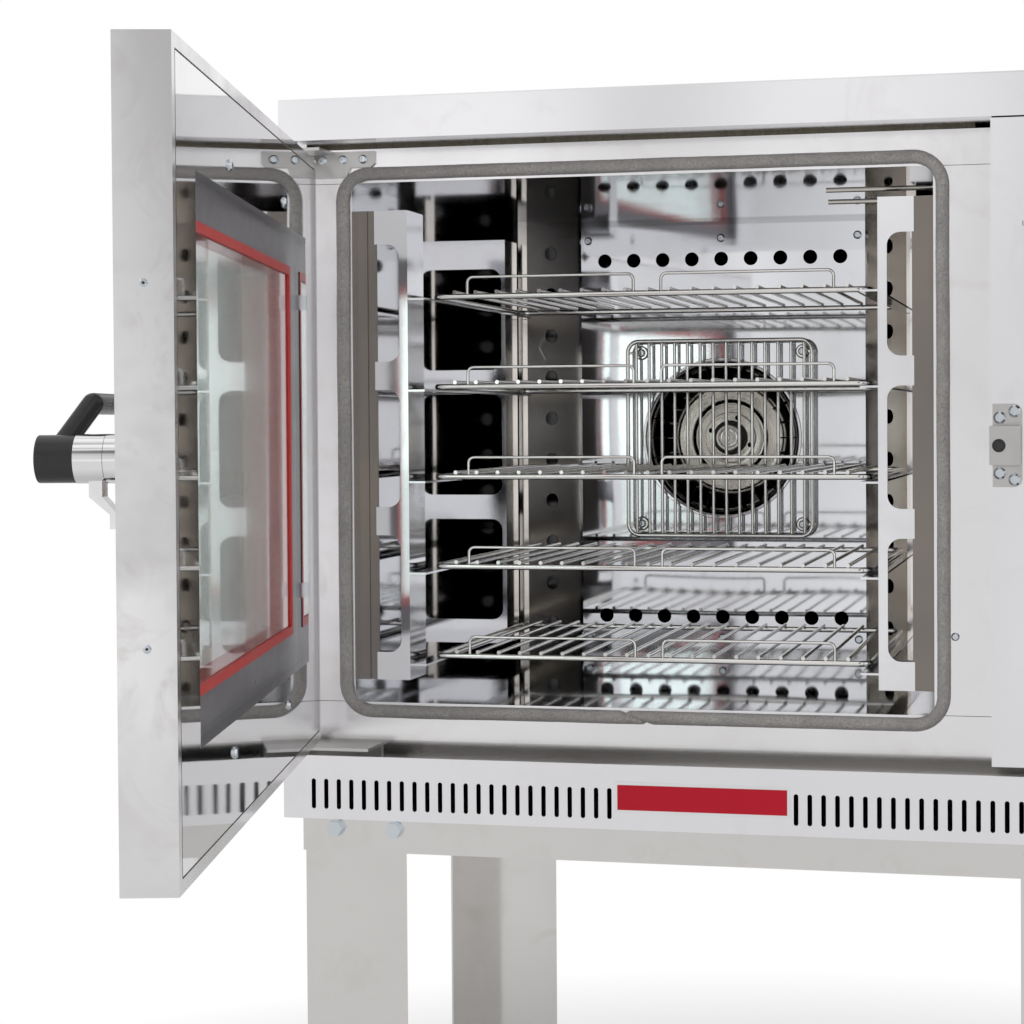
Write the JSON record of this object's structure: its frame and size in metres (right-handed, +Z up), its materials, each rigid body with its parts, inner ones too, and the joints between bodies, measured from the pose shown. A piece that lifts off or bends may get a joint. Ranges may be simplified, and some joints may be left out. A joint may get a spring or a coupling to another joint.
{
  "type": "convection oven",
  "caption": "Free-standing stainless convection oven on a legged stand, with a side-hinged glass door, wire shelves, fan grille and control column.",
  "frame": {"origin": "on the floor at the middle of the stand, the centre of the four anchor holes in its feet", "axes": "+Z up, +X to the right of someone facing the door, +Y from the door towards the back"},
  "size_m": [0.857, 1.436, 1.464],
  "materials": {
    "cavity_steel": "mirror-polished stainless sheet, warmed by use",
    "baffle_steel": "mirror-polished stainless sheet",
    "frame_steel": "bright satin stainless sheet with smudges",
    "casing_steel": "bright stainless sheet",
    "fascia_steel": "bright stainless sheet",
    "back_steel": "plain galvanised sheet",
    "gutter_steel": "stainless sheet, dulled",
    "bracket_steel": "satin stainless",
    "rack_steel": "polished stainless sheet",
    "post_steel": "satin stainless, browned by heat",
    "stand_steel": "bright stainless sheet",
    "door_steel": "polished stainless sheet with water marks",
    "door_liner_steel": "mirror-polished stainless sheet",
    "fan_steel": "satin stainless with heat tint",
    "wire_steel": "bright drawn wire",
    "bulb_steel": "bright tube",
    "element_steel": "dark heat-oxidised tube",
    "screw_zinc": "bright zinc plating",
    "handle_chrome": "polished plated casting",
    "foot_metal": "zinc plated",
    "motor_metal": "painted casting",
    "gasket_cord": "braided fibre cord, grey-brown",
    "wool": "mineral wool",
    "badge_silver": "satin border",
    "badge_red": "gloss enamel, bare",
    "door_glass": "clear float glass",
    "window_border": "satin grey border",
    "red_silicone": "red silicone",
    "black_rubber": "black rubber",
    "lever_plastic": "black glass-filled nylon",
    "knob_plastic": "black phenolic",
    "unit_plastic": "black moulding",
    "gland_plastic": "black nylon",
    "lamp_lens": "amber lens"
  },
  "bodies": {
    "oven": {"cavity_liner": "cavity_steel", "door_frame": "frame_steel", "cavity_gasket": "gasket_cord", "top_panel": "casing_steel", "left_side_panel": "casing_steel", "right_side_panel": "casing_steel", "rear_panel": "back_steel", "base_pan": "back_steel", "top_fascia": "fascia_steel", "vent_fascia": "fascia_steel", "badge_plate": "badge_silver", "badge_field": "badge_red", "control_panel": "fascia_steel", "drip_gutter": "gutter_steel", "strike_plate": "bracket_steel", "upper_hinge_bracket": "bracket_steel", "lower_hinge_bracket": "bracket_steel", "screws": "screw_zinc", "fan_baffle": "baffle_steel", "fan_grille": "wire_steel", "heating_element": "element_steel", "fan_motor": "motor_metal", "motor_cover": "back_steel", "insulation": "wool", "thermostat_bulbs": "bulb_steel", "rack_posts": "post_steel", "left_rack": "rack_steel", "right_rack": "rack_steel", "stand_rails": "stand_steel", "front_left_leg": "stand_steel", "front_right_leg": "stand_steel", "rear_left_leg": "stand_steel", "rear_right_leg": "stand_steel", "feet": "foot_metal", "stand_bolts": "screw_zinc", "cable_gland": "gland_plastic", "control_units": "unit_plastic", "pilot_lamps": "lamp_lens"},
    "door": {"door_shell": "door_steel", "door_inner_panel": "door_liner_steel", "door_insulation": "wool", "outer_glass": "door_glass", "inner_glass": "door_glass", "window_frame": "window_border", "window_seal": "red_silicone", "hinge_leaves": "bracket_steel", "door_fittings": "screw_zinc", "door_bumper": "black_rubber", "handle_base": "handle_chrome"},
    "handle": {"handle_sleeve": "handle_chrome", "handle_lever": "lever_plastic"},
    "shelf_1_body": {"shelf_1": "wire_steel"},
    "shelf_2_body": {"shelf_2": "wire_steel"},
    "shelf_3_body": {"shelf_3": "wire_steel"},
    "shelf_4_body": {"shelf_4": "wire_steel"},
    "shelf_5_body": {"shelf_5": "wire_steel"},
    "fan": {"fan_wheel": "fan_steel"},
    "thermostat_knob_body": {"thermostat_knob": "knob_plastic"},
    "timer_knob_body": {"timer_knob": "knob_plastic"},
    "selector_knob_body": {"selector_knob": "knob_plastic"}
  },
  "joints": [
    {"name": "door_swing", "type": "hinge", "parent": "oven", "child": "door", "pos_m": [-0.415, -0.2725, 0.8195], "axis": [0, 0, 1], "range_deg": [-43.7, 76.3]},
    {"name": "handle_turn", "type": "hinge", "parent": "door", "child": "handle", "pos_m": [-0.27999, -0.90656, 1.1195], "axis": [-0.9715, -0.2368, 0], "range_deg": [0, 90]},
    {"name": "shelf_1_slide", "type": "slide", "parent": "oven", "child": "shelf_1_body", "axis": [0, 1, 0], "range_m": [-0.2, 0]},
    {"name": "shelf_2_slide", "type": "slide", "parent": "oven", "child": "shelf_2_body", "axis": [0, 1, 0], "range_m": [-0.2, 0]},
    {"name": "shelf_3_slide", "type": "slide", "parent": "oven", "child": "shelf_3_body", "axis": [0, 1, 0], "range_m": [-0.2, 0]},
    {"name": "shelf_4_slide", "type": "slide", "parent": "oven", "child": "shelf_4_body", "axis": [0, 1, 0], "range_m": [-0.2, 0]},
    {"name": "shelf_5_slide", "type": "slide", "parent": "oven", "child": "shelf_5_body", "axis": [0, 1, 0], "range_m": [-0.2, 0]},
    {"name": "fan_spin", "type": "hinge", "parent": "oven", "child": "fan", "pos_m": [-0.075, 0.26, 1.123], "axis": [0, 1, 0], "continuous": true},
    {"name": "thermostat_turn", "type": "hinge", "parent": "oven", "child": "thermostat_knob_body", "pos_m": [0.3495, -0.2925, 1.3235], "axis": [0, 1, 0], "range_deg": [0, 270]},
    {"name": "timer_turn", "type": "hinge", "parent": "oven", "child": "timer_knob_body", "pos_m": [0.3495, -0.2925, 1.2135], "axis": [0, 1, 0], "range_deg": [0, 300]},
    {"name": "selector_turn", "type": "hinge", "parent": "oven", "child": "selector_knob_body", "pos_m": [0.3495, -0.2925, 1.0035], "axis": [0, 1, 0], "range_deg": [0, 90]}
  ]
}
